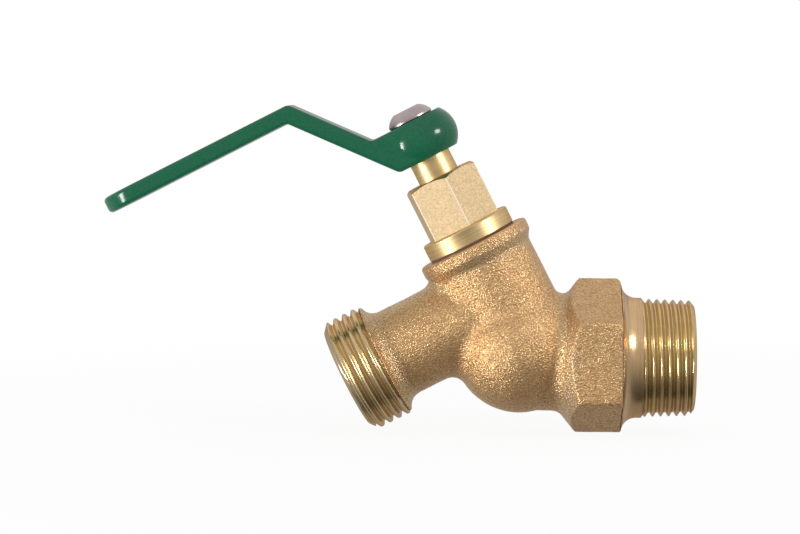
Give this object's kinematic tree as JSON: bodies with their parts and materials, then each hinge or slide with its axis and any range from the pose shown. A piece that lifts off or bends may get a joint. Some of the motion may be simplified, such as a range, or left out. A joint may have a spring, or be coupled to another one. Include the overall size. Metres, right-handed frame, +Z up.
{
  "type": "hose bibb",
  "caption": "Quarter-turn hose bibb in cast brass: male pipe thread inlet, hexagon, angled neck with hose thread, and a cranked green lever on a ceramic-disc headwork.",
  "frame": {"origin": "on the inlet's axis, where the inlet thread starts at its neck", "axes": "+X along the inlet, out of its mouth; +Z up, on the lever's side; the outlet slopes down towards -X"},
  "size_m": [0.1344, 0.0314, 0.0746],
  "materials": {
    "cast_bronze": "as-cast, sand texture, machined threads",
    "turned_brass": "turned, satin",
    "fibre_gasket": "pressed fibre",
    "disc_ceramic": "lapped",
    "black_rubber": "moulded",
    "white_acetal": "moulded",
    "green_enamel": "gloss enamel over a casting",
    "screw_steel": "satin, cold headed"
  },
  "bodies": {
    "valve": {"valve_body": "cast_bronze", "bonnet_gasket": "fibre_gasket", "headwork_housing": "turned_brass", "lower_disc": "disc_ceramic", "seat_seal": "black_rubber", "seal_support_ring": "white_acetal"},
    "spindle": {"stem": "turned_brass", "stem_o_ring_upper": "black_rubber", "stem_o_ring_lower": "black_rubber", "thrust_washer": "white_acetal", "upper_disc": "disc_ceramic", "lever_handle": "green_enamel", "handle_screw": "screw_steel"}
  },
  "joints": [
    {"name": "quarter_turn", "type": "hinge", "parent": "valve", "child": "spindle", "pos_m": [-0.0317, 0, 0.01295], "axis": [-0.454, 0, 0.891], "range_deg": [-90, 0]}
  ]
}
